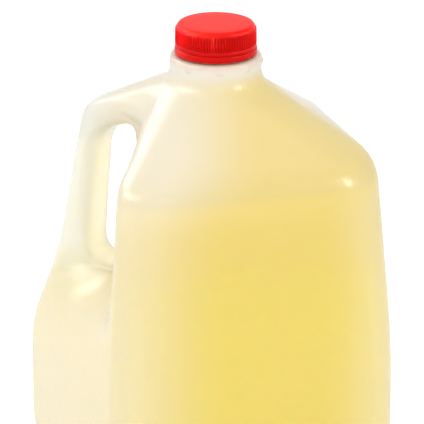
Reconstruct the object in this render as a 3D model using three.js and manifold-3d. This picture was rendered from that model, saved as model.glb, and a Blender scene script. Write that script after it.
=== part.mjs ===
// A one-gallon jug of lemonade: a blow-moulded square bottle with a hollow handle in one corner,
// filled to its shoulder and shut by a ribbed screw cap that still has its tamper band.
// Millimetres, +Z up. The handle corner points along -X and the mould's parting plane is Y = 0.

import * as THREE from "three";
import { mergeVertices } from "three/addons/utils/BufferGeometryUtils.js";
import Module from "manifold-3d";

const wasm = await Module();
wasm.setup();

// Driving dimensions of the bottle
const HEIGHT = 256; // floor to cap top
const CORNER_REACH = 100.5; // neck axis to a plain corner, low on the body
const HANDLE_REACH = 110.5; // neck axis to the handle corner, low on the body
const CORNER_ROUND_LOW = 14; // vertical corner radius low on the body
const CORNER_ROUND_HIGH = 28; // at the knuckle
const CORNER_ROUND_TOP = 24; // and under the neck
const ROUNDING_Z = [214, 231]; // where the square turns into the round neck
const FACE_BULGE = 1.5; // how far the full jug's faces swell
const HEEL = 25; // height of the rounding above the foot
const TAPER_START = 100; // above this the corners lean in
const SHOULDER_Z = 191.5; // middle of the bend from the walls into the shoulder
const BEND_Z = [175, 206]; // where that bend begins and ends
const FRONT_KNUCKLE = [88.5, 193.5]; // reach and height of the bend in the +X corner
const SIDE_KNUCKLE = [88.3, 190.5]; // and in the corners on both sides of the handle
const KNUCKLE_TRIM = 12; // length of the straight edges that the +X knuckle's rounding takes
const SIDE_KNUCKLE_TRIM = 7; // the same for the sharper knuckles beside the handle
const FACE_BEND_TRIM = 18; // and the gentler rounding in the middle of a face
const LEAN_TRIM = 25; // rounding where the corners begin to lean in
const WALL = 1; // thickness of the bottle all over
const FIT_GAP = 0.3; // left between pieces that touch
const LEMONADE_LEVEL = 184;

// Foot under the body
const FOOT_INNER_SCALE = 0.86;
const PUSH_UP_SCALE = 0.55;
const PUSH_UP = 5;

// Neck
const COLLAR_RADIUS = 23.4;
const COLLAR_Z = [225.3, 239.4];
const COLLAR_FILLET = 7;
const FINISH_RADIUS = 17;
const FINISH_TOP = 253.4;

// Handle: a fin is left between two scooped recesses, and a finger hole is cut through it.
// The corners of its outer edge are reach, height and the trim of their rounding.
const HANDLE_CORNERS = [
  [HANDLE_REACH, 76, 14],
  [93, 117, 14],
  [75.5, 203, 9],
];
const HANDLE_ROOT_RISE = 2.6; // how much higher the handle meets the collar than the corners do
const FIN_HALF = 12;
const FIN_TRIM = 11.4;
const RECESS_FOOT_X = 30; // where the recess wall meets the fin
const RECESS_FOOT_TRIM = 12;
const RECESS_RIDGE_LAP = 10; // how far the body's corner laps onto the recess side
const RECESS_LOW = { handle: 90, ridge: 122 }; // where the recess begins to sink in
const RECESS_RISE = 30; // height over which it reaches its full depth
const RECESS_SPREAD = 0.75; // share of the quarter from the ridge over which its lower edge drops
const RECESS_FADE = [190, 228]; // where it runs out under the neck
const HOLE_RIM = 8; // rounding of the finger hole's rim
const HOLE_OVERRUN = 3; // how far its cutter runs out past the fin
const HOLE_CORNERS = [
  [-72.5, 117.5, 13],
  [-42, 117.5, 10],
  [-38, 200, 10],
  [-66, 188.5, 11],
];

// Cap
const CAP_RADIUS = 20;
const CAP_RIM = 2;
const CAP_WALL = 1.4;
const CAP_TOP_WALL = 1.8;
const RIB_COUNT = 90;
const RIB_HEIGHT = 0.5;
const RIB_Z = [246.2, 253.9];
const BEAD_RADIUS = 20.8;
const BAND_RADIUS = 21.1;
const BAND_Z = [240.4, 243.6];
const SCORE_DEPTH = 0.5;
const CAP_EDGE = 0.4; // small bevels along the band and the score line
const BEAD_STEP = 0.3; // how far the ribbed wall flares above the bead
const RIB_HALF = 0.4; // half of a rib's width, as a share of the distance between ribs

// How finely the round stretches are divided
const ARC_STEPS = 3;
const HOLE_STEPS = 3;
const HEEL_STEPS = 4;
const PROFILE_STEPS = 12;
const CAP_SIDES = 60;
const BORE_SIDES = 30;

const smoothstep = THREE.MathUtils.smoothstep;
const lerp = THREE.MathUtils.lerp;

// Points of the rounded corner at `corner`, between its two neighbours
function cornerPoints(before, corner, after, steps) {
  const at = new THREE.Vector2(corner[0], corner[1]);
  const toBefore = new THREE.Vector2(before[0], before[1]).sub(at).setLength(corner[2]);
  const toAfter = new THREE.Vector2(after[0], after[1]).sub(at).setLength(corner[2]);
  const curve = new THREE.QuadraticBezierCurve(toBefore.add(at), at, toAfter.add(at));
  return curve.getPoints(steps);
}

function openOutline(corners, steps) {
  const middle = corners.slice(1, -1);
  const rounded = middle.flatMap((c, i) => cornerPoints(corners[i], c, corners[i + 2], steps));
  const first = new THREE.Vector2(...corners[0]);
  const last = new THREE.Vector2(...corners.at(-1));
  return [first, ...rounded, last];
}

function closedOutline(corners, steps) {
  const next = (i) => corners[(i + 1) % corners.length];
  return corners.flatMap((c, i) => cornerPoints(corners.at(i - 1), c, next(i), steps));
}

// A profile of reach over height, read at any height
function profile(corners) {
  const points = openOutline(corners, PROFILE_STEPS);
  return (z) => {
    const i = Math.max(1, points.findIndex((p) => p.y >= z - 1e-6));
    const [low, high] = [points[i - 1], points[i]];
    const share = (z - low.y) / Math.max(high.y - low.y, 1e-6);
    return lerp(low.x, high.x, THREE.MathUtils.clamp(share, 0, 1));
  };
}

// The collar over a shoulder that would meet it at height `root`
const neckProfile = (root) => [
  [COLLAR_RADIUS, root, COLLAR_FILLET],
  [COLLAR_RADIUS, COLLAR_Z[1]],
];

const cornerProfile = (knuckle, trim) => profile([
  [CORNER_REACH - HEEL, 0],
  [CORNER_REACH, 0, HEEL],
  [CORNER_REACH, TAPER_START, LEAN_TRIM],
  [...knuckle, trim],
  ...neckProfile(COLLAR_Z[0]),
]);

const frontReach = cornerProfile(FRONT_KNUCKLE, KNUCKLE_TRIM);
const sideReach = cornerProfile(SIDE_KNUCKLE, SIDE_KNUCKLE_TRIM);
const gentleReach = cornerProfile(FRONT_KNUCKLE, FACE_BEND_TRIM);

const handleReach = profile([
  [HANDLE_REACH - HEEL, 0],
  [HANDLE_REACH, 0, HEEL],
  ...HANDLE_CORNERS,
  ...neckProfile(COLLAR_Z[0] + HANDLE_ROOT_RISE),
]);

// The plain quarter of a section, from the +X corner to the -Y corner: a rounded square that turns
// into a circle at the neck
function plainQuarter(z) {
  const low = lerp(CORNER_ROUND_LOW, CORNER_ROUND_HIGH, smoothstep(z, TAPER_START, SHOULDER_Z));
  const round = lerp(low, CORNER_ROUND_TOP, smoothstep(z, SHOULDER_Z, ROUNDING_Z[0]));
  const bulge = FACE_BULGE * smoothstep(z, 0, HEEL) * (1 - smoothstep(z, SHOULDER_Z, COLLAR_Z[0]));
  const dip = (frontReach(z) - gentleReach(z)) * Math.SQRT1_2;
  const arc = (reach) => Array.from({ length: ARC_STEPS + 1 }, (_, k) => {
    const turn = ((k / ARC_STEPS) * Math.PI) / 4;
    return new THREE.Vector2(reach - round + round * Math.cos(turn), -round * Math.sin(turn));
  });
  const points = arc(frontReach(z));
  const secondArc = arc(sideReach(z)).map((p) => new THREE.Vector2(-p.y, -p.x)).reverse();
  const start = points.at(-1);
  const faceSteps = ARC_STEPS + 4; // gives as many points as the three arcs of recessQuarter
  for (let k = 1; k < faceSteps; k += 1) {
    const share = k / faceSteps;
    const swell = (bulge - dip) * 4 * share * (1 - share) * Math.SQRT1_2;
    const onFace = start.clone().lerp(secondArc[0], share);
    points.push(onFace.add(new THREE.Vector2(swell, -swell)));
  }
  points.push(...secondArc);
  const roundness = smoothstep(z, ...ROUNDING_Z);
  return points.map((p, k) => {
    const share = k / (points.length - 1);
    const turn = (share * Math.PI) / 2;
    const reach = lerp(frontReach(z), sideReach(z), share);
    const onCircle = new THREE.Vector2(reach * Math.cos(turn), -reach * Math.sin(turn));
    return p.lerp(onCircle, roundness);
  });
}

// The same quarter mirrored to the handle side, stretched out to the handle corner
function handleQuarter(z) {
  const stretch = handleReach(z) / frontReach(z);
  return plainQuarter(z)
    .reverse()
    .map((p) => new THREE.Vector2(-p.x * stretch, p.y));
}

// The handle side where the recess is at its full depth: corner, recess wall, fin and fin edge
function recessQuarter(z) {
  const reach = sideReach(z);
  const handle = handleReach(z);
  const shrink = Math.min(1, handle / (2 * RECESS_FOOT_X));
  const [foot, fin, lap] = [RECESS_FOOT_X, FIN_HALF, RECESS_RIDGE_LAP].map((v) => v * shrink);
  const corners = [
    [0, -reach],
    [-lap, -reach, lap],
    [-foot, -fin, RECESS_FOOT_TRIM * shrink],
    [-handle, -fin, FIN_TRIM * shrink],
    [-handle, 0],
  ];
  return openOutline(corners, ARC_STEPS);
}

// A closed section at one height: the half with Y <= 0, then its mirror image
function section(z) {
  const recess = recessQuarter(z);
  const fade = 1 - smoothstep(z, ...RECESS_FADE);
  const handleSide = handleQuarter(z).map((p, k) => {
    const share = smoothstep(k / (recess.length - 1), 0, RECESS_SPREAD);
    const low = lerp(RECESS_LOW.ridge, RECESS_LOW.handle, share);
    const depth = smoothstep(z, low, low + RECESS_RISE) * fade;
    return p.lerp(recess[k], depth);
  });
  const half = [...plainQuarter(z), ...handleSide.slice(1)];
  const mirror = half.slice(1, -1).reverse().map((p) => new THREE.Vector2(p.x, -p.y));
  return [...half, ...mirror];
}

// A closed surface through rings of equal length, with a fan at each end
function loft(rings) {
  const count = rings[0].length;
  const middle = (ring) => ring.reduce((sum, p) => sum.add(p), new THREE.Vector3()).divideScalar(count);
  const points = [...rings.flat(), middle(rings[0]), middle(rings.at(-1))];
  const bottom = rings.length * count;
  const index = [];
  for (let k = 0; k < count; k += 1) {
    const next = (k + 1) % count;
    index.push(bottom, k, next);
    for (let r = 0; r + 1 < rings.length; r += 1) {
      const [low, high] = [r * count, (r + 1) * count];
      index.push(low + k, high + k, low + next);
      index.push(low + next, high + k, high + next);
    }
    const top = (rings.length - 1) * count;
    index.push(bottom + 1, top + next, top + k);
  }
  const geometry = new THREE.BufferGeometry().setFromPoints(points);
  geometry.setIndex(index);
  return geometry;
}

function solid(geometry) {
  const bare = geometry.clone();
  bare.deleteAttribute("normal");
  bare.deleteAttribute("uv");
  const merged = mergeVertices(bare, 1e-5);
  return new wasm.Manifold(
    new wasm.Mesh({
      numProp: 3,
      vertProperties: merged.attributes.position.array,
      triVerts: new Uint32Array(merged.index.array),
    }),
  );
}

function geometryOf(manifold) {
  const mesh = manifold.getMesh();
  const geometry = new THREE.BufferGeometry();
  geometry.setAttribute("position", new THREE.BufferAttribute(mesh.vertProperties, 3));
  geometry.setIndex(new THREE.BufferAttribute(mesh.triVerts, 1));
  return geometry;
}

// Heights at which the body is cut into sections, close together where it bends
function stations() {
  const recessFull = RECESS_LOW.handle + RECESS_RISE;
  const [kneeLow, kneeHigh] = BEND_Z;
  const shoulderTop = COLLAR_Z[0] - COLLAR_FILLET;
  const collarLow = COLLAR_Z[0] + HANDLE_ROOT_RISE + COLLAR_FILLET;
  const stretches = [
    [HEEL, RECESS_LOW.handle, 2],
    [RECESS_LOW.handle, recessFull, 5],
    [recessFull, kneeLow, 4],
    [kneeLow, kneeHigh, 6],
    [kneeHigh, shoulderTop, 3],
    [shoulderTop, collarLow, 4],
    [collarLow, COLLAR_Z[1], 1],
  ];
  const heel = Array.from({ length: HEEL_STEPS }, (_, k) => {
    return HEEL * (1 - Math.cos(((k / HEEL_STEPS) * Math.PI) / 2));
  });
  const rest = stretches.flatMap(([from, to, steps]) => {
    return Array.from({ length: steps }, (_, k) => lerp(from, to, k / steps));
  });
  return [...heel, ...rest, COLLAR_Z[1]];
}

// A section turned into a ring at height `z`, grown or shrunk by `scale`
function ring(flat, scale, z) {
  return flat.map((p) => new THREE.Vector3(p.x * scale, p.y * scale, z));
}

// The bottle as a solid body with no finger hole, all its faces moved in by `inset`
function body(inset, top) {
  const foot = section(0);
  const collar = section(COLLAR_Z[1]);
  const finish = FINISH_RADIUS / COLLAR_RADIUS;
  const rings = [
    ring(foot, PUSH_UP_SCALE, PUSH_UP),
    ring(foot, FOOT_INNER_SCALE, 0),
    ...stations().map((z) => ring(section(z), 1, z)),
    ring(collar, finish, COLLAR_Z[1]),
    ring(collar, finish, top),
  ];
  const geometry = loft(rings);
  geometry.computeVertexNormals();
  const { position, normal } = geometry.attributes;
  for (let i = 0; i < position.count; i += 1) {
    const moved = new THREE.Vector3().fromBufferAttribute(position, i);
    moved.addScaledVector(new THREE.Vector3().fromBufferAttribute(normal, i), -inset);
    position.setXYZ(i, moved.x, moved.y, moved.z);
  }
  return solid(geometry);
}

// The finger hole along Y, flared at both ends so that it leaves a rounded rim
function fingerHole(inset) {
  const outline = closedOutline(HOLE_CORNERS, HOLE_STEPS);
  const outward = outline.map((p, k) => {
    const along = outline[(k + 1) % outline.length].clone().sub(outline.at(k - 1));
    return new THREE.Vector2(along.y, -along.x).normalize();
  });
  const round = HOLE_RIM - inset;
  const flare = Array.from({ length: HOLE_STEPS + 1 }, (_, k) => {
    const turn = ((k / HOLE_STEPS) * Math.PI) / 2;
    return [FIN_HALF - HOLE_RIM + round * Math.sin(turn), HOLE_RIM - round * Math.cos(turn)];
  });
  flare.push([FIN_HALF + HOLE_OVERRUN, HOLE_RIM + FIT_GAP]);
  const far = flare.map(([y, grow]) => [-y, grow]).reverse();
  const rings = [...far, ...flare].map(([y, grow]) => {
    return outline.map((p, k) => {
      const at = p.clone().addScaledVector(outward[k], grow);
      return new THREE.Vector3(at.x, y, at.y);
    });
  });
  return solid(loft(rings));
}

function bottleForm(inset, top) {
  return body(inset, top).subtract(fingerHole(inset));
}

function makeJug() {
  const outside = bottleForm(0, FINISH_TOP);
  const inside = bottleForm(WALL, 2 * HEIGHT); // far past the mouth, so that it stays open
  return geometryOf(outside.subtract(inside));
}

function makeLemonade() {
  const inside = bottleForm(WALL + FIT_GAP, HEIGHT);
  const width = 4 * HANDLE_REACH;
  const below = new THREE.BoxGeometry(width, width, LEMONADE_LEVEL);
  below.translate(0, 0, LEMONADE_LEVEL / 2);
  return geometryOf(inside.intersect(solid(below)));
}

// The cap's cup with its bead, score line and tamper band, turned about the neck axis
function capCup() {
  const inner = CAP_RADIUS - CAP_WALL;
  const under = HEIGHT - CAP_TOP_WALL;
  const [bandLow, bandHigh] = BAND_Z;
  const rimMiddle = CAP_RIM * (1 - Math.SQRT1_2);
  const points = [
    [0, HEIGHT],
    [CAP_RADIUS - CAP_RIM, HEIGHT],
    [CAP_RADIUS - rimMiddle, HEIGHT - rimMiddle],
    [CAP_RADIUS, HEIGHT - CAP_RIM],
    [CAP_RADIUS + BEAD_STEP, RIB_Z[0]],
    [BEAD_RADIUS, RIB_Z[0] - BEAD_STEP],
    [BEAD_RADIUS, bandHigh + 2 * CAP_EDGE],
    [BEAD_RADIUS - SCORE_DEPTH, bandHigh + CAP_EDGE],
    [BEAD_RADIUS, bandHigh],
    [BAND_RADIUS, bandHigh - 1.5 * CAP_EDGE],
    [BAND_RADIUS, bandLow + CAP_EDGE],
    [BAND_RADIUS - CAP_EDGE, bandLow],
    [BAND_RADIUS - CAP_WALL, bandLow],
    [inner + BEAD_STEP, RIB_Z[0]],
    [inner, under],
    [0, under],
  ];
  const outline = points.reverse().map(([r, z]) => new THREE.Vector2(r, z));
  const geometry = new THREE.LatheGeometry(outline, CAP_SIDES);
  geometry.rotateX(Math.PI / 2);
  return geometry;
}

// The ring of grip ribs, sunk into the cup's wall by half of its thickness
function capRibs() {
  const root = CAP_RADIUS - 0.25 * CAP_WALL;
  const crest = CAP_RADIUS + RIB_HEIGHT;
  const outline = [];
  for (let k = 0; k < RIB_COUNT; k += 1) {
    for (const [offset, radius] of [[-RIB_HALF, root], [0, crest], [RIB_HALF, root]]) {
      const angle = (2 * Math.PI * (k + offset)) / RIB_COUNT;
      outline.push(new THREE.Vector2(radius * Math.cos(angle), radius * Math.sin(angle)));
    }
  }
  const shape = new THREE.Shape(outline);
  const bore = new THREE.Path();
  bore.absarc(0, 0, CAP_RADIUS - 0.5 * CAP_WALL, 0, 2 * Math.PI, true);
  shape.holes.push(bore);
  const depth = RIB_Z[1] - RIB_Z[0];
  const settings = { depth, bevelEnabled: false, curveSegments: BORE_SIDES };
  const geometry = new THREE.ExtrudeGeometry(shape, settings);
  geometry.translate(0, 0, RIB_Z[0]);
  return geometry;
}

function makeCap() {
  return geometryOf(solid(capCup()).add(solid(capRibs())));
}

const plastic = new THREE.MeshStandardMaterial({ color: 0xf3efdc, roughness: 0.45, metalness: 0 });
const drink = new THREE.MeshStandardMaterial({ color: 0xf0d878, roughness: 0.3, metalness: 0 });
const capRed = new THREE.MeshStandardMaterial({ color: 0xd8221c, roughness: 0.35, metalness: 0 });

// The neck stands off the middle of the box by half of what the handle corner reaches further
const jugOfLemonade = new THREE.Group();
jugOfLemonade.position.x = (HANDLE_REACH - CORNER_REACH) / 2;
const pieces = [
  ["jug", makeJug(), plastic],
  ["lemonade", makeLemonade(), drink],
  ["cap", makeCap(), capRed],
];
for (const [name, geometry, material] of pieces) {
  const mesh = new THREE.Mesh(geometry, material);
  mesh.name = name;
  jugOfLemonade.add(mesh);
}

export default jugOfLemonade;
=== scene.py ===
"""A one-gallon jug of lemonade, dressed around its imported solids.

The blown bottle, the drink in it and the screw cap each replace their solid and keep its form.
"""

import math

import bpy
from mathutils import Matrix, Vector


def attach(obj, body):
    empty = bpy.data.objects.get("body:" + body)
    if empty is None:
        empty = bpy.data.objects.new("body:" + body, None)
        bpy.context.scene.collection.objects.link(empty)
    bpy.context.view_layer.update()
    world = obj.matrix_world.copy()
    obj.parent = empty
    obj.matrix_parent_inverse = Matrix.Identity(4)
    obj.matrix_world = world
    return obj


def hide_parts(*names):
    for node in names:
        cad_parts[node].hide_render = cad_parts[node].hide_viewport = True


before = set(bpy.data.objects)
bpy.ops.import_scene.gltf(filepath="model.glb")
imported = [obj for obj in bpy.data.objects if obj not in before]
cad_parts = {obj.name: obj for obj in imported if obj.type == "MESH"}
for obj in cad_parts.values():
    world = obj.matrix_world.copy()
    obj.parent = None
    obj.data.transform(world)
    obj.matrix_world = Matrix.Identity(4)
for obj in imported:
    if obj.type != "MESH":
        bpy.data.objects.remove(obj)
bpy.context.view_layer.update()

# Bottle, in millimetres: heights from the floor, reaches from the neck axis
MM = 0.001
TINY = 1e-6
NECK_X = 5.0
CORNER_REACH = 100.5
HANDLE_REACH = 110.5
CORNER_ROUND_LOW = 14
CORNER_ROUND_HIGH = 28
CORNER_ROUND_TOP = 24
ROUNDING_Z = (214, 231)
FACE_BULGE = 1.5
HEEL = 25
TAPER_START = 100
LEAN_TRIM = 25
SHOULDER_Z = 191.5
BEND_Z = (175, 206)
FRONT_KNUCKLE = (88.5, 193.5)
SIDE_KNUCKLE = (88.3, 190.5)
KNUCKLE_TRIM = 12
SIDE_KNUCKLE_TRIM = 7
FACE_BEND_TRIM = 18
FACE_STEPS = 12
HEEL_STEPS = 10
WALL = 1.0
LEMONADE_LEVEL = 184.0
LEMONADE_BITE = 0.5  # how far inside the bottle's outside the drink ends, which is within the wall

# Foot
FOOT_INNER_SCALE = 0.86
PUSH_UP_SCALE = 0.55
PUSH_UP = 5
PUSH_UP_STEPS = 6

# Neck
COLLAR_RADIUS = 23.4
COLLAR_Z = (225.3, 239.4)
COLLAR_FILLET = 7
COLLAR_EDGE = 1.0
COLLAR_EDGE_MID = 0.3  # share of the edge at which its rounding has a ring of its own
LUG_COUNT = 9
LUG_HEIGHT = 0.8
LUG_Z = (235.6, 238.0)
LUG_HALF = 4.5  # half of a lug's width, in degrees
LUG_FLAT = 0.5  # share of it that is flat
LUG_EASE = 0.6
LUG_TURN = 22
FINISH_RADIUS = 17
FINISH_TOP = 253.4
MOUTH_SLACK = 0.1

# Handle and finger hole
HANDLE_CORNERS = [(HANDLE_REACH, 76, 14), (93, 117, 14), (75.5, 203, 9)]
HANDLE_ROOT_RISE = 2.6
FIN_HALF = 12
FIN_TRIM = 11.4
RECESS_FOOT_X = 30
RECESS_FOOT_TRIM = 12
RECESS_RIDGE_LAP = 10
RECESS_LOW_HANDLE = 90
RECESS_LOW_RIDGE = 122
RECESS_LOW_SPAN = 0.75  # share of the side, from the ridge, along which the one low turns into the other
RECESS_RISE = 30
RECESS_FADE = (190, 228)
HOLE_RIM = 8  # rounding of the hole's edge
FOOT_RIM = 2.5  # the same at its foot, where the hole runs out onto the recess's ledge
FOOT_RIM_Z = (118, 145)  # where the one turns into the other
HOLE_GAP = 0.3
HOLE_OVERRUN = 3
RIM_EASE = 4  # points on each side over which the half width at the rim is averaged
FIN_HALF_LEAST = 7  # the rim follows the fin's thickness between these halves
FIN_HALF_MOST = 26
CUTTER_HALF = 34
HOLE_CORNERS = [(-72.5, 116.5, 12), (-43, 116.5, 10), (-41, 199, 7), (-64, 190, 11)]

# Boxes in which the skin is smoothed after the cut, and how often, at the handle's foot, the hole's top
# and the grip
SOFTENED = [
    (((-80, -75, 86), (-15, 75, 124)), 8),
    (((-58, -45, 184), (-22, 45, 208)), 8),
    (((-92, -16, 122), (-58, 16, 166)), 3),
]
SOFTEN_FACTOR = 0.5

# Cap
CAP_TOP = 256
CAP_RADIUS = 20
CAP_RIM = 2
CAP_RIM_STEPS = 6
CAP_WALL = 1.4
CAP_TOP_WALL = 1.8
CAP_POLE = 1.0  # radius of the small faces that close both ends
CAP_TOP_RING = 0.6  # share of the radius at which the flat top has a ring
RIB_COUNT = 90
RIB_HEIGHT = 0.75
RIB_FULLNESS = 0.8  # below 1 the ribs are broader than the grooves
RIB_Z = (246.2, 253.9)
BEAD_RADIUS = 20.8
BAND_RADIUS = 21.1
BAND_EDGE = 0.4
BAND_EDGE_MID = (0.25, 0.3)  # shares of it, inwards and upwards, at which its rounding has a ring
BAND_Z = (240.4, 243.6)
BAND_DRAFT = 0.08
SCORE_DEPTH = 0.5
SCORE_EDGE = 0.3
SCORE_WIDTH = 0.8
BEAD_SWELL = 0.05
BEAD_MIDDLE = 1.4  # its height above the band
LEDGE_LOW = 0.5  # the rounded ledge between the bead and the ribs
LEDGE_ROUND = (0.25, 0.15)
LEDGE_TOP = 0.3
RIB_FOOT = 0.1
RIB_ENDING = [(0.8, 1), (0.3, 0.7), (0, 0.1)]  # way below the ribs' top, and share of their height there
INNER_FLARE = 0.3

# Colours, linear
DRINK_DEEP = (0.96, 0.82, 0.20, 1)
# the pale drink is the thin drink's colour and, on the handle's side, also painted light
DRINK_PALE = (0.95, 0.86, 0.62, 1)
# the drink in the handle is pale where it is thin, and paler still as painted light coming through the
# thin handle
DRINK_IN_HANDLE_THIN_LIT = (0.98, 0.97, 0.80, 1)
FILM_DEEP = (0.95, 0.77, 0.31, 1)
FILM_WET_DEEP = (0.85, 0.68, 0.22, 1)
# the pale wet film is the thin drink seen through it and, on the handle's side, also painted light
FILM_WET_PALE = (0.91, 0.82, 0.57, 1)
# painted light: the shoulder's pale tint on the handle's side, above the drink
FILM_SHOULDER_LIT = (0.97, 0.90, 0.73, 1)
# the handle's milky plastic, painted paler as painted light coming through the thin handle
FILM_HANDLE_MILKY_LIT = (0.95, 0.96, 0.88, 1)
FILM_NECK = (0.99, 0.97, 0.93, 1)
# painted light: the orange glow that the red cap throws on the plastic just below it
FILM_CAP_GLOW = (0.95, 0.70, 0.52, 1)
FILM_LIT_THROUGH = (0.95, 0.87, 0.62, 1)
# the ribbed wall is painted darker as painted shade, the top lighter as painted light; between the two
# wall reds the tone differs at random
CAP_WALL_SHADED_DARK = (0.45, 0.002, 0.001, 1)
CAP_WALL_SHADED_LIGHT = (0.51, 0.003, 0.002, 1)
CAP_TOP_LIT_RED = (0.68, 0.006, 0.001, 1)
WHITE = (1, 1, 1, 1)
FLOOR_GREY = (0.93, 0.93, 0.93, 1)

# Where the tints change, in metres
# The handle's side is paler partly because the drink is thin there and partly as painted light falling on
# that side
PALE_AXIS = (0.88, 0.47)  # direction in plan along which the tints change
PALE_SPAN = (0.012, -0.050)  # from deep to pale along it
# above the drink, on the shoulder, the paler side is painted light only
SHOULDER_PALE_SPAN = (0.030, -0.022)  # and above the drink
MILK_BLEND = (0.060, 0.0)  # how far below and above the level the film turns milky
TINT_BLEND = (0.018, 0.024)  # and takes the shoulder's tint
DRINK_CORNER_X = (0.088, 0.108)  # the front corner, where the drink is thin again
DRINK_CORNER_PALE = 0.6
DRINK_HANDLE_X = (-0.045, -0.085)
DRINK_HANDLE_Z = (0.085, 0.130)
FILM_CORNER_X = (0.080, 0.106)
FILM_CORNER_PALE = 0.8
FILM_HANDLE_X = (-0.040, -0.065)
FILM_HANDLE_Z = (0.100, 0.130)
NECK_TINT_Z = (0.226, 0.238)
# where the cap's painted glow lies, and how strong it is
CAP_GLOW_Z = (0.234, 0.240)
CAP_GLOW_SHARE = 0.7
CAP_TOP_LIGHT_Z = (0.2535, 0.2555)

# How the plastics and the drink take the light
DRINK_SCATTER = 0.02  # how far light spreads inside the drink, in metres, for each colour's share
DRINK_SCATTER_SHARES = (1.0, 0.8, 0.35)
MATT = 0.5  # roughness of the drink and of the milk in the film
FILM_GRAIN = (800.0, 0.00045, 0.4)  # scale, depth in metres and strength
GRAIN_DETAIL = 2.0
FILM_THROUGH = 0.35  # share of the light on the milky film that goes on through it
FILM_COVER = 0.37  # share of the film in front of the drink that isn't clear, seen straight on
FILM_COVER_SLANT = 0.46  # and what its longer way through the wall adds to it, seen at a slant
FILM_SLANT_BLEND = 0.35
FILM_COVER_DRY = 0.88
FILM_GLOSS = 0.24
FILM_IOR = 1.38
CAP_MOTTLE_SCALE = 900.0
CAP_MOTTLE_DETAIL = 3.0
CAP_GRAIN = (1500.0, 0.00005, 0.25)
CAP_GLOSS = 0.27
CAP_GLOSS_MOTTLE = 0.1
CAP_SPECULAR = 0.06
FLOOR_ROUGHNESS = 0.8
SKIN_ANGLE = 50  # edges sharper than this, in degrees, stay sharp
CAP_ANGLE = 35

# Sockets of a Mix node: the two colours that go in, and the mixed one that comes out
MIX_LOW = 6
MIX_HIGH = 7
MIX_COLOUR = 2

# Stage, in metres and degrees, with the lens and sensor in millimetres
FLOOR_SIZE = 12.0
CAMERA_AZIMUTH = 28.3
CAMERA_ELEVATION = 17.0
CAMERA_DISTANCE = 1.8
CAMERA_AIM = Vector((0.005, 0.0, 0.256))
CAMERA_TILT = 20.07
CAMERA_TURN = 0.065
LENS = 300.3
SENSOR_WIDTH = 36.0
ROOM_LIGHT = 1.14

# How finely round stretches are divided
ARC_STEPS = 8
HOLE_STEPS = 8
PROFILE_STEPS = 24
RIB_STEPS = 6


def lerp(a, b, share):
    return a + (b - a) * share


def smoothstep(value, low, high):
    share = min(1.0, max(0.0, (value - low) / (high - low)))
    return share * share * (3 - 2 * share)


def rounded_corner(before, corner, after, steps):
    """Points of a rounded corner, given as place and trim, between its two neighbours."""
    at = Vector(corner[:2])
    start = at + (Vector(before[:2]) - at).normalized() * corner[2]
    end = at + (Vector(after[:2]) - at).normalized() * corner[2]
    shares = [k / steps for k in range(steps + 1)]
    return [start.lerp(at, t).lerp(at.lerp(end, t), t) for t in shares]


def open_outline(corners, steps):
    points = [Vector(corners[0][:2])]
    for before, corner, after in zip(corners, corners[1:], corners[2:]):
        points += rounded_corner(before, corner, after, steps)
    return points + [Vector(corners[-1][:2])]


def closed_outline(corners, steps):
    points = []
    for k, corner in enumerate(corners):
        points += rounded_corner(corners[k - 1], corner, corners[(k + 1) % len(corners)], steps)
    return points


def reach_profile(corners):
    """A reach over height, read at any height."""
    points = open_outline(corners, PROFILE_STEPS)

    def reach(z):
        k = next((i for i, p in enumerate(points) if p.y >= z - TINY), len(points) - 1)
        low, high = points[max(k, 1) - 1], points[max(k, 1)]
        share = (z - low.y) / max(high.y - low.y, TINY)
        return lerp(low.x, high.x, min(1.0, max(0.0, share)))

    return reach


def neck_corners(root):
    return [(COLLAR_RADIUS, root, COLLAR_FILLET), (COLLAR_RADIUS, COLLAR_Z[1])]


def corner_profile(knuckle, trim):
    return reach_profile([
        (CORNER_REACH - HEEL, 0),
        (CORNER_REACH, 0, HEEL),
        (CORNER_REACH, TAPER_START, LEAN_TRIM),
        (*knuckle, trim),
        *neck_corners(COLLAR_Z[0]),
    ])


front_reach = corner_profile(FRONT_KNUCKLE, KNUCKLE_TRIM)
side_reach = corner_profile(SIDE_KNUCKLE, SIDE_KNUCKLE_TRIM)
gentle_reach = corner_profile(FRONT_KNUCKLE, FACE_BEND_TRIM)
handle_reach = reach_profile([
    (HANDLE_REACH - HEEL, 0),
    (HANDLE_REACH, 0, HEEL),
    *HANDLE_CORNERS,
    *neck_corners(COLLAR_Z[0] + HANDLE_ROOT_RISE),
])


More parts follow.
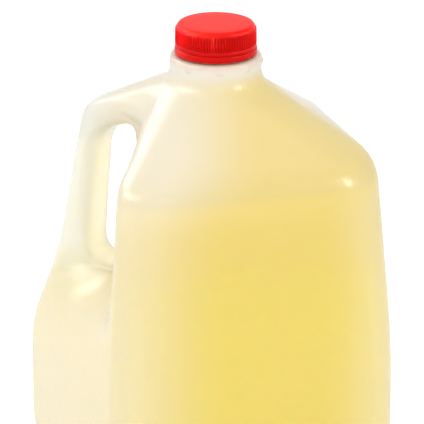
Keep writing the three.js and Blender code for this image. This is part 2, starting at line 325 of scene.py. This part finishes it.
def plain_quarter(z):
    """A section's quarter from the +X corner to the -Y corner: a rounded square, round at the neck."""
    front, side = front_reach(z), side_reach(z)
    low = lerp(CORNER_ROUND_LOW, CORNER_ROUND_HIGH, smoothstep(z, TAPER_START, SHOULDER_Z))
    corner = lerp(low, CORNER_ROUND_TOP, smoothstep(z, SHOULDER_Z, ROUNDING_Z[0]))
    bulge = FACE_BULGE * smoothstep(z, 0, HEEL) * (1 - smoothstep(z, SHOULDER_Z, COLLAR_Z[0]))
    dip = (front - gentle_reach(z)) * math.sqrt(0.5)
    turns = [k / ARC_STEPS * math.pi / 4 for k in range(ARC_STEPS + 1)]
    arc = [Vector((corner * (math.cos(t) - 1), -corner * math.sin(t))) for t in turns]
    first = [Vector((front + p.x, p.y)) for p in arc]
    second = [Vector((-p.y, -side - p.x)) for p in reversed(arc)]
    face = []
    for k in range(1, FACE_STEPS):
        share = k / FACE_STEPS
        swell = (bulge - dip) * 4 * share * (1 - share) * math.sqrt(0.5)
        face.append(first[-1].lerp(second[0], share) + Vector((swell, -swell)))
    points = first + face + second
    roundness = smoothstep(z, *ROUNDING_Z)
    last = len(points) - 1
    circle = []
    for k in range(last + 1):
        reach = lerp(front, side, k / last)
        around = k / last * math.pi / 2
        circle.append(Vector((reach * math.cos(around), -reach * math.sin(around))))
    return [p.lerp(c, roundness) for p, c in zip(points, circle)]


def handle_quarter(z):
    """The same quarter on the handle's side, stretched out to the handle corner."""
    stretch = handle_reach(z) / front_reach(z)
    return [Vector((-p.x * stretch, p.y)) for p in reversed(plain_quarter(z))]


def recess_quarter(z):
    """The handle's side where the recess is deepest: ridge, recess wall, fin and fin edge."""
    reach = side_reach(z)
    handle = handle_reach(z)
    shrink = min(1.0, handle / (2 * RECESS_FOOT_X))
    foot, fin, lap = RECESS_FOOT_X * shrink, FIN_HALF * shrink, RECESS_RIDGE_LAP * shrink
    return open_outline([
        (0, -reach),
        (-lap, -reach, lap),
        (-foot, -fin, RECESS_FOOT_TRIM * shrink),
        (-handle, -fin, FIN_TRIM * shrink),
        (-handle, 0),
    ], ARC_STEPS)


def bottle_section(z):
    """A closed section: the half with Y <= 0, then its mirror image."""
    recess = recess_quarter(z)
    fade = 1 - smoothstep(z, *RECESS_FADE)
    half = plain_quarter(z)
    for k, p in enumerate(handle_quarter(z)):
        share = smoothstep(k / (len(recess) - 1), 0, RECESS_LOW_SPAN)
        low = lerp(RECESS_LOW_RIDGE, RECESS_LOW_HANDLE, share)
        if k:
            half.append(p.lerp(recess[k], smoothstep(z, low, low + RECESS_RISE) * fade))
    return half + [Vector((p.x, -p.y)) for p in half[-2:0:-1]]


def bottle_heights():
    recess_full = RECESS_LOW_HANDLE + RECESS_RISE
    shoulder_top = COLLAR_Z[0] - COLLAR_FILLET
    collar_low = COLLAR_Z[0] + HANDLE_ROOT_RISE + COLLAR_FILLET
    stretches = [  # from, to, and number of rings
        (HEEL, RECESS_LOW_HANDLE, 8),
        (RECESS_LOW_HANDLE, recess_full, 14),
        (recess_full, BEND_Z[0], 18),
        (BEND_Z[0], BEND_Z[1], 18),
        (BEND_Z[1], shoulder_top, 8),
        (shoulder_top, collar_low, 14),
        (collar_low, COLLAR_Z[1] - COLLAR_EDGE, 8),
    ]
    heights = [HEEL * (1 - math.cos(k / HEEL_STEPS * math.pi / 2)) for k in range(HEEL_STEPS)]
    for low, high, steps in stretches:
        heights += [lerp(low, high, k / steps) for k in range(steps)]
    return heights + [COLLAR_Z[1] - COLLAR_EDGE]


def with_lugs(ring):
    """A collar ring with small lugs that keep the band from turning."""
    low, high = LUG_Z
    step = 360 / LUG_COUNT
    raised = []
    for p in ring:
        rise = smoothstep(p.z, low - LUG_EASE, low) * (1 - smoothstep(p.z, high, high + LUG_EASE))
        off = (math.degrees(math.atan2(p.y, p.x)) - LUG_TURN + step / 2) % step - step / 2
        beside = 1 - smoothstep(abs(off), LUG_FLAT * LUG_HALF, LUG_HALF)
        out = 1 + LUG_HEIGHT / COLLAR_RADIUS * rise * beside
        raised.append(Vector((p.x * out, p.y * out, p.z)))
    return raised


def flat_ring(section, scale, z):
    return [Vector((p.x * scale, p.y * scale, z)) for p in section]


def bottle_rings():
    """Rings of the bottle's outside, from the pushed-up middle of the foot to the mouth."""
    foot = bottle_section(0)
    rings = []
    for k in range(PUSH_UP_STEPS + 1):
        share = k / PUSH_UP_STEPS
        scale = lerp(PUSH_UP_SCALE, FOOT_INNER_SCALE, share)
        rings.append(flat_ring(foot, scale, PUSH_UP * (1 - smoothstep(share, 0, 1))))
    rings += [with_lugs(flat_ring(bottle_section(z), 1, z)) for z in bottle_heights()]
    collar_top = COLLAR_Z[1]
    collar = bottle_section(collar_top)
    edge = COLLAR_EDGE / COLLAR_RADIUS
    finish = FINISH_RADIUS / COLLAR_RADIUS
    rings.append(flat_ring(collar, 1 - COLLAR_EDGE_MID * edge, collar_top - COLLAR_EDGE_MID * COLLAR_EDGE))
    rings.append(flat_ring(collar, 1 - edge, collar_top))
    rings.append(flat_ring(collar, finish, collar_top))
    rings.append(flat_ring(collar, finish, FINISH_TOP))
    return rings


def deselect_all():
    if bpy.context.object and bpy.context.object.mode != "OBJECT":
        bpy.ops.object.mode_set(mode="OBJECT")
    bpy.ops.object.select_all(action="DESELECT")


def only(piece):
    deselect_all()
    piece.select_set(True)
    bpy.context.view_layer.objects.active = piece


def apply_modifier(piece, kind, **settings):
    only(piece)
    modifier = piece.modifiers.new(kind.lower(), kind)
    for name, value in settings.items():
        setattr(modifier, name, value)
    bpy.ops.object.modifier_apply(modifier=modifier.name)


def drawn_tube(name, rings):
    """Extrudes a circle ring by ring, then draws each ring out to its own outline and closes the ends."""
    deselect_all()
    count = len(rings[0])
    bpy.ops.mesh.primitive_circle_add(vertices=count, radius=1.0, location=(0, 0, 0))
    piece = bpy.context.object
    piece.name = name
    piece.data.name = name
    bpy.ops.object.mode_set(mode="EDIT")
    bpy.ops.mesh.select_mode(type="VERT")
    bpy.ops.mesh.select_all(action="SELECT")
    for _ in rings[1:]:
        bpy.ops.mesh.extrude_region_move(TRANSFORM_OT_translate={"value": (0, 0, 1.0)})
    bpy.ops.object.mode_set(mode="OBJECT")
    for vertex in piece.data.vertices:
        column = round(math.atan2(vertex.co.y, vertex.co.x) / (2 * math.pi) * count) % count
        at = rings[round(vertex.co.z)][column]
        vertex.co = Vector((at.x + NECK_X, at.y, at.z)) * MM
    bpy.ops.object.mode_set(mode="EDIT")
    bpy.ops.mesh.select_mode(type="EDGE")
    bpy.ops.mesh.select_all(action="DESELECT")
    bpy.ops.mesh.select_non_manifold(extend=False, use_boundary=True, use_wire=False, use_multi_face=False)
    bpy.ops.mesh.edge_face_add()
    bpy.ops.mesh.select_all(action="SELECT")
    bpy.ops.mesh.normals_make_consistent(inside=False)
    bpy.ops.object.mode_set(mode="OBJECT")
    return piece


def fin_half(place):
    """Half of the bottle's thickness along Y at a place in the XZ plane, kept within its limits."""
    section = bottle_section(place.y)
    half = section[:len(section) // 2 + 1]
    for before, after in zip(half, half[1:]):
        if after.x < place.x <= before.x:
            share = (place.x - before.x) / (after.x - before.x)
            return min(FIN_HALF_MOST, max(FIN_HALF_LEAST, -lerp(before.y, after.y, share)))
    return FIN_HALF


def hole_rings():
    """Rings of the finger hole's cutter along Y, flared at both ends for a rounded rim."""
    outline = closed_outline(HOLE_CORNERS, HOLE_STEPS)
    outward = []
    for k in range(len(outline)):
        along = outline[(k + 1) % len(outline)] - outline[k - 1]
        outward.append(Vector((along.y, -along.x)).normalized())
    high = [smoothstep(p.y, *FOOT_RIM_Z) for p in outline]
    rims = [lerp(FOOT_RIM, HOLE_RIM, share) for share in high]
    followed = [fin_half(p + d * rim) for p, d, rim in zip(outline, outward, rims)]
    uneven = [lerp(FIN_HALF, half, share) for half, share in zip(followed, high)]
    count = len(uneven)
    beside = range(-RIM_EASE, RIM_EASE + 1)
    halves = [sum(uneven[(k + n) % count] for n in beside) / len(beside) for k in range(count)]
    near = []
    for step in range(HOLE_STEPS + 1):
        turn = step / HOLE_STEPS * math.pi / 2
        ring = []
        for p, d, rim, half in zip(outline, outward, rims, halves):
            grown = p + d * rim * (1 - math.cos(turn))
            ring.append(Vector((grown.x, half - rim * (1 - math.sin(turn)), grown.y)))
        near.append(ring)
    wide = [p + d * (rim + HOLE_GAP) for p, d, rim in zip(outline, outward, rims)]
    near.append([Vector((p.x, half + HOLE_OVERRUN, p.y)) for p, half in zip(wide, halves)])
    ends = [lerp(half + 2 * HOLE_OVERRUN, CUTTER_HALF, share) for half, share in zip(halves, high)]
    near.append([Vector((p.x, end, p.y)) for p, end in zip(wide, ends)])
    far = [[Vector((p.x, -p.y, p.z)) for p in ring] for ring in reversed(near)]
    return far + near


def soften(piece, low, high, repeats):
    """Smooths what lies inside a box, given by two corners in millimetres."""
    only(piece)
    bpy.ops.object.mode_set(mode="EDIT")
    bpy.ops.mesh.select_mode(type="VERT")
    bpy.ops.mesh.select_all(action="DESELECT")
    bpy.ops.object.mode_set(mode="OBJECT")
    for vertex in piece.data.vertices:
        vertex.select = all(a * MM < v < b * MM for a, v, b in zip(low, vertex.co, high))
    bpy.ops.object.mode_set(mode="EDIT")
    bpy.ops.mesh.vertices_smooth(factor=SOFTEN_FACTOR, repeat=repeats)
    bpy.ops.object.mode_set(mode="OBJECT")


def make_bottle_skin():
    """The bottle's outside as one closed skin, with the finger hole through its handle."""
    skin = drawn_tube("jug_shell", bottle_rings())
    cutter = drawn_tube("finger_hole_cutter", hole_rings())
    apply_modifier(skin, "BOOLEAN", operation="DIFFERENCE", solver="EXACT", object=cutter)
    bpy.data.objects.remove(cutter)
    for box, repeats in SOFTENED:
        soften(skin, *box, repeats)
    return skin


def copy_of(piece, name):
    copy = bpy.data.objects.new(name, piece.data.copy())
    copy.data.name = name
    bpy.context.scene.collection.objects.link(copy)
    return copy


def make_lemonade(skin):
    """The drink: the bottle's skin drawn into the wall and cut level."""
    drink = copy_of(skin, "lemonade_fill")
    only(drink)
    bpy.ops.object.mode_set(mode="EDIT")
    bpy.ops.mesh.select_all(action="SELECT")
    bpy.ops.transform.shrink_fatten(value=-LEMONADE_BITE * MM)
    bpy.ops.mesh.select_all(action="SELECT")
    bpy.ops.mesh.bisect(
        plane_co=(0, 0, LEMONADE_LEVEL * MM), plane_no=(0, 0, 1), use_fill=True, clear_outer=True
    )
    bpy.ops.object.mode_set(mode="OBJECT")
    return drink


def open_and_thicken(skin):
    """Opens the mouth and gives the skin its wall."""
    only(skin)
    bpy.ops.object.mode_set(mode="EDIT")
    bpy.ops.mesh.select_mode(type="FACE")
    bpy.ops.mesh.select_all(action="DESELECT")
    bpy.ops.object.mode_set(mode="OBJECT")
    for face in skin.data.polygons:
        face.select = face.center.z > (FINISH_TOP - MOUTH_SLACK) * MM
    bpy.ops.object.mode_set(mode="EDIT")
    bpy.ops.mesh.delete(type="FACE")
    bpy.ops.object.mode_set(mode="OBJECT")
    apply_modifier(skin, "SOLIDIFY", thickness=WALL * MM, offset=-1.0, use_even_offset=False)


def rib_profile():
    """Rise of a grip rib at each step across it, as a share of its height."""
    waves = [0.5 + 0.5 * math.cos(2 * math.pi * k / RIB_STEPS) for k in range(RIB_STEPS)]
    return [wave ** RIB_FULLNESS for wave in waves]


def cap_rings():
    """Rings of the cap, from the middle of its underside round the band to the middle of the top.

    Each row is a radius, a height and the share of the ribs' height that shows there.
    """
    inner = CAP_RADIUS - CAP_WALL
    ceiling = CAP_TOP - CAP_TOP_WALL
    band_low, band_high = BAND_Z
    rib_low, rib_high = RIB_Z
    score = BEAD_RADIUS - SCORE_DEPTH
    rows = [
        (CAP_POLE, ceiling, 0),
        (inner, ceiling, 0),
        (inner + INNER_FLARE, rib_low, 0),
        (BAND_RADIUS - CAP_WALL, band_low, 0),
        (BAND_RADIUS - BAND_EDGE, band_low, 0),
        (BAND_RADIUS - BAND_EDGE_MID[0] * BAND_EDGE, band_low + BAND_EDGE_MID[1] * BAND_EDGE, 0),
        (BAND_RADIUS, band_low + BAND_EDGE, 0),
        (BAND_RADIUS, band_high - 2 * SCORE_EDGE, 0),
        (BAND_RADIUS - BAND_DRAFT, band_high - SCORE_EDGE, 0),
        (BEAD_RADIUS, band_high, 0),
        (score, band_high + SCORE_EDGE, 0),
        (score, band_high + SCORE_WIDTH - SCORE_EDGE, 0),
        (BEAD_RADIUS, band_high + SCORE_WIDTH, 0),
        (BEAD_RADIUS + BEAD_SWELL, band_high + BEAD_MIDDLE, 0),
        (BEAD_RADIUS, rib_low - LEDGE_LOW, 0),
        (BEAD_RADIUS - LEDGE_ROUND[0], rib_low - LEDGE_ROUND[1], 0),
        (CAP_RADIUS + LEDGE_TOP, rib_low, 0),
        (CAP_RADIUS + RIB_FOOT, rib_low + RIB_FOOT, 1),
    ]
    rows += [(CAP_RADIUS, rib_high - below, share) for below, share in RIB_ENDING]
    rows.append((CAP_RADIUS, CAP_TOP - CAP_RIM, 0))
    for k in range(1, CAP_RIM_STEPS + 1):
        turn = k / CAP_RIM_STEPS * math.pi / 2
        radius = CAP_RADIUS - CAP_RIM * (1 - math.cos(turn))
        rows.append((radius, CAP_TOP - CAP_RIM * (1 - math.sin(turn)), 0))
    rows += [(CAP_TOP_RING * CAP_RADIUS, CAP_TOP, 0), (CAP_POLE, CAP_TOP, 0)]
    ribs = rib_profile() * RIB_COUNT
    rings = []
    for radius, z, share in rows:
        ring = []
        for k, rise in enumerate(ribs):
            turn = 2 * math.pi * k / len(ribs)
            out = radius + share * RIB_HEIGHT * rise
            ring.append(Vector((out * math.cos(turn), out * math.sin(turn), z)))
        rings.append(ring)
    return rings


def smooth(piece, angle):
    only(piece)
    bpy.ops.object.shade_smooth_by_angle(angle=math.radians(angle))


class Wire:
    """A socket in a material; sums on wires add Math nodes."""

    def __init__(self, tree, socket):
        self.tree = tree
        self.socket = socket

    def maths(self, operation, *values):
        sockets = dict(enumerate(values))
        return node(self.tree, "ShaderNodeMath", {"operation": operation}, sockets)

    def __add__(self, other):
        return self.maths("ADD", self, other)

    __radd__ = __add__

    def __sub__(self, other):
        return self.maths("SUBTRACT", self, other)

    def __rsub__(self, other):
        return self.maths("SUBTRACT", other, self)

    def __mul__(self, other):
        return self.maths("MULTIPLY", self, other)

    __rmul__ = __mul__

    def between(self, low, high):
        """0 at low, 1 at high, eased at both ends."""
        settings = {"interpolation_type": "SMOOTHSTEP"}
        sockets = {"Value": self, "From Min": low, "From Max": high}
        return node(self.tree, "ShaderNodeMapRange", settings, sockets)


def node(tree, kind, settings=None, sockets=None, output=0):
    """Adds a node, sets it, links or fills its sockets, and gives one of its outputs, if it has any."""
    made = tree.nodes.new(kind)
    for name, value in (settings or {}).items():
        setattr(made, name, value)
    for name, value in (sockets or {}).items():
        if isinstance(value, Wire):
            tree.links.new(value.socket, made.inputs[name])
        else:
            made.inputs[name].default_value = value
    return Wire(tree, made.outputs[output]) if made.outputs else None


def colour_mix(tree, share, low, high):
    """Colour that goes from low to high with share."""
    sockets = {"Factor": share, MIX_LOW: low, MIX_HIGH: high}
    return node(tree, "ShaderNodeMix", {"data_type": "RGBA"}, sockets, MIX_COLOUR)


def new_material(name):
    material = bpy.data.materials.new(name)
    material.use_nodes = True
    material.node_tree.nodes.clear()
    return material, material.node_tree


def set_surface(tree, shader):
    node(tree, "ShaderNodeOutputMaterial", {}, {"Surface": shader})


def place_on_piece(tree):
    return node(tree, "ShaderNodeTexCoord", output="Object")


def place_axes(tree):
    """The place on the piece, as three wires."""
    first = node(tree, "ShaderNodeSeparateXYZ", {}, {"Vector": place_on_piece(tree)})
    return [Wire(tree, socket) for socket in first.socket.node.outputs]


def noise_on_piece(tree, scale, detail):
    sockets = {"Vector": place_on_piece(tree), "Scale": scale, "Detail": detail}
    return node(tree, "ShaderNodeTexNoise", {}, sockets)


def grain_bump(tree, scale, depth, strength):
    """The fine grain of moulded plastic, as a bump."""
    noise = noise_on_piece(tree, scale, GRAIN_DETAIL)
    return node(tree, "ShaderNodeBump", {}, {"Height": noise, "Distance": depth, "Strength": strength})


def side_paleness(x, y, span):
    """0 on the plain side of the jug and 1 on the handle's side, which is paler where the drink is thin
    and as painted light falling on that side.
    """
    across = x * PALE_AXIS[0] + y * PALE_AXIS[1]
    return across.between(*span)


def lemonade_material():
    """Cloudy drink: deep yellow where it is thick, pale towards the handle and the corners where it is
    thin, and on the handle's side paler also as painted light.
    """
    material, tree = new_material("cloudy_lemonade")
    x, y, z = place_axes(tree)
    # Pale where the drink is thin, and on the handle's side also painted light
    pale = side_paleness(x, y, PALE_SPAN)
    pale = pale.maths("MAXIMUM", pale, x.between(*DRINK_CORNER_X) * DRINK_CORNER_PALE)
    # Painted light: the drink in the handle is lightened as if lit through the thin handle
    handle = x.between(*DRINK_HANDLE_X) * z.between(*DRINK_HANDLE_Z)
    body = colour_mix(tree, pale, DRINK_DEEP, DRINK_PALE)
    tint = colour_mix(tree, handle, body, DRINK_IN_HANDLE_THIN_LIT)
    drink = node(tree, "ShaderNodeBsdfPrincipled", {}, {
        "Base Color": tint, "Roughness": MATT, "Specular IOR Level": 0.0, "Subsurface Weight": 1.0,
        "Subsurface Radius": DRINK_SCATTER_SHARES, "Subsurface Scale": DRINK_SCATTER,
    })
    set_surface(tree, drink)
    return material


def film_material():
    """Blown translucent plastic: milky where only air is behind it, and tinted by the drink below."""
    material, tree = new_material("milky_plastic")
    x, y, z = place_axes(tree)
    bump = grain_bump(tree, *FILM_GRAIN)
    level = LEMONADE_LEVEL * MM
    dry = z.between(level - MILK_BLEND[0], level + MILK_BLEND[1])
    high = z.between(level - TINT_BLEND[0], level + TINT_BLEND[1])
    # Pale where the drink is thin, and on the handle's side also painted light
    pale = side_paleness(x, y, PALE_SPAN)
    pale = pale.maths("MAXIMUM", pale, x.between(*FILM_CORNER_X) * FILM_CORNER_PALE)
    wet_body = colour_mix(tree, pale, FILM_WET_DEEP, FILM_WET_PALE)
    # Above the drink the shoulder is painted paler on the handle's side, as painted light
    dry_body = colour_mix(tree, side_paleness(x, y, SHOULDER_PALE_SPAN), FILM_DEEP, FILM_SHOULDER_LIT)
    body = colour_mix(tree, high, wet_body, dry_body)
    # Painted light: the handle's film is lightened as if lit through the thin handle
    handle = x.between(*FILM_HANDLE_X) * z.between(*FILM_HANDLE_Z)
    grip = colour_mix(tree, handle, body, FILM_HANDLE_MILKY_LIT)
    neck = colour_mix(tree, z.between(*NECK_TINT_Z), grip, FILM_NECK)
    # Painted light: the red cap's orange glow on the collar just below it
    tint = colour_mix(tree, z.between(*CAP_GLOW_Z) * CAP_GLOW_SHARE, neck, FILM_CAP_GLOW)
    clear = node(tree, "ShaderNodeBsdfTransparent", {}, {"Color": WHITE})
    milk = node(tree, "ShaderNodeBsdfPrincipled", {}, {
        "Base Color": tint, "Roughness": MATT, "Specular IOR Level": 0.0,
    })
    through = node(tree, "ShaderNodeBsdfTranslucent", {}, {"Color": FILM_LIT_THROUGH})
    scatter = node(tree, "ShaderNodeMixShader", {}, {0: FILM_THROUGH, 1: milk, 2: through})
    slant = node(tree, "ShaderNodeLayerWeight", {}, {"Blend": FILM_SLANT_BLEND}, "Facing")
    milky = dry.maths("MAXIMUM", dry, handle)
    wet_film = slant * FILM_COVER_SLANT + FILM_COVER
    cover = wet_film + milky * (FILM_COVER_DRY - wet_film)
    film = node(tree, "ShaderNodeMixShader", {}, {0: cover, 1: clear, 2: scatter})
    gloss = node(tree, "ShaderNodeBsdfGlossy", {}, {"Roughness": FILM_GLOSS, "Normal": bump})
    fresnel = node(tree, "ShaderNodeFresnel", {}, {"IOR": FILM_IOR, "Normal": bump})
    set_surface(tree, node(tree, "ShaderNodeMixShader", {}, {0: fresnel, 1: film, 2: gloss}))
    return material


def cap_material():
    """Injection-moulded red plastic, with a faint mottle in its gloss and colour; its ribbed wall is
    darker as painted shade and its top lighter as painted light.
    """
    material, tree = new_material("red_cap_plastic")
    mottle = noise_on_piece(tree, CAP_MOTTLE_SCALE, CAP_MOTTLE_DETAIL)
    _, _, z = place_axes(tree)
    wall = colour_mix(tree, mottle, CAP_WALL_SHADED_DARK, CAP_WALL_SHADED_LIGHT)
    # Painted shade and light: the ribbed wall darker, the top face lighter red
    tint = colour_mix(tree, z.between(*CAP_TOP_LIGHT_Z), wall, CAP_TOP_LIT_RED)
    red = node(tree, "ShaderNodeBsdfPrincipled", {}, {
        "Base Color": tint,
        "Roughness": mottle * CAP_GLOSS_MOTTLE + CAP_GLOSS,
        "Specular IOR Level": CAP_SPECULAR,
        "Normal": grain_bump(tree, *CAP_GRAIN),
    })
    set_surface(tree, red)
    return material


def finish_piece(piece, material, node_name):
    piece.data.materials.clear()
    piece.data.materials.append(material)
    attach(piece, "root")
    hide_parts(node_name)


def soft_light(name, place, aim, size, power, height=None, shine=True, fill=True, spread=180):
    """An area lamp with its beam's spread in degrees, which can be kept to the gloss or out of it."""
    light = bpy.data.lights.new(name, "AREA")
    light.shape = "RECTANGLE"
    light.size = size
    light.size_y = height or size
    light.energy = power
    light.spread = math.radians(spread)
    lamp = bpy.data.objects.new(name, light)
    bpy.context.scene.collection.objects.link(lamp)
    lamp.location = place
    lamp.visible_camera = False
    lamp.visible_glossy = shine
    lamp.visible_diffuse = fill
    lamp.visible_transmission = fill
    lamp.rotation_euler = (Vector(aim) - Vector(place)).to_track_quat("-Z", "Y").to_euler()


# Pieces
jug_shell = make_bottle_skin()
lemonade_fill = make_lemonade(jug_shell)
open_and_thicken(jug_shell)
screw_cap = drawn_tube("screw_cap", cap_rings())
smooth(jug_shell, SKIN_ANGLE)
smooth(lemonade_fill, SKIN_ANGLE)
smooth(screw_cap, CAP_ANGLE)
finish_piece(jug_shell, film_material(), "jug")
finish_piece(lemonade_fill, lemonade_material(), "lemonade")
finish_piece(screw_cap, cap_material(), "cap")

# Stage: a pale floor, soft light and the photograph's camera
deselect_all()
bpy.ops.mesh.primitive_plane_add(size=FLOOR_SIZE, location=(0, 0, 0))
floor = bpy.context.object
floor.name = "pale_floor"
floor_paint, floor_tree = new_material("pale_floor_paint")
set_surface(floor_tree, node(floor_tree, "ShaderNodeBsdfPrincipled", {}, {
    "Base Color": FLOOR_GREY, "Roughness": FLOOR_ROUGHNESS,
}))
floor.data.materials.append(floor_paint)

world = bpy.data.worlds.new("soft_room")
bpy.context.scene.world = world
world.use_nodes = True
background = world.node_tree.nodes["Background"]
background.inputs["Color"].default_value = WHITE
background.inputs["Strength"].default_value = ROOM_LIGHT

# Panels light the whole, the fill and the cap's two beams lighten one place each, and windows
# only show in the gloss
soft_light("left_panel", (-1.1, -0.7, 0.75), (0, 0, 0.14), 0.8, 2.6)
soft_light("front_panel", (0.9, -1.5, 0.75), (0, 0, 0.14), 1.0, 6.0)
soft_light("top_panel", (0.1, -0.1, 1.6), (0, 0, 0.1), 1.2, 3.0)
soft_light("right_panel", (1.5, 0.2, 0.5), (0.05, 0, 0.14), 0.8, 1.2, shine=False)
soft_light("handle_fill", (-0.046, 0.0, 0.157), (-0.066, 0.0, 0.160), 0.016, 0.0068, 0.080, shine=False)
soft_light("cap_left", (-0.39, -0.32, 0.274), (0.005, 0, 0.263), 0.03, 0.0135, 0.004, spread=6)
soft_light("cap_right", (0.46, 0.20, 0.274), (0.005, 0, 0.263), 0.03, 0.0045, 0.004, spread=6)
soft_light("ridge_window", (-1.15, 0.25, 1.05), (0, 0, 0.2), 0.6, 10.5, fill=False)
soft_light("ledge_window", (-0.9, -0.8, 1.0), (-0.07, 0, 0.11), 1.3, 17.0, 0.5, fill=False)
soft_light("knuckle_window", (1.5, -0.1, 0.65), (0.09, 0, 0.19), 0.35, 14.0, fill=False)

camera_data = bpy.data.cameras.new("photo_camera")
camera_data.lens = LENS
camera_data.sensor_width = SENSOR_WIDTH
camera = bpy.data.objects.new("photo_camera", camera_data)
bpy.context.scene.collection.objects.link(camera)
turn, lift = math.radians(CAMERA_AZIMUTH), math.radians(CAMERA_ELEVATION)
away = Vector((math.sin(turn) * math.cos(lift), -math.cos(turn) * math.cos(lift), math.sin(lift)))
camera.location = CAMERA_AIM + away * CAMERA_DISTANCE
camera.rotation_euler = (
    math.radians(90 - CAMERA_TILT), 0, math.radians(CAMERA_AZIMUTH + CAMERA_TURN)
)
bpy.context.scene.camera = camera
bpy.context.scene.view_settings.view_transform = "Standard"
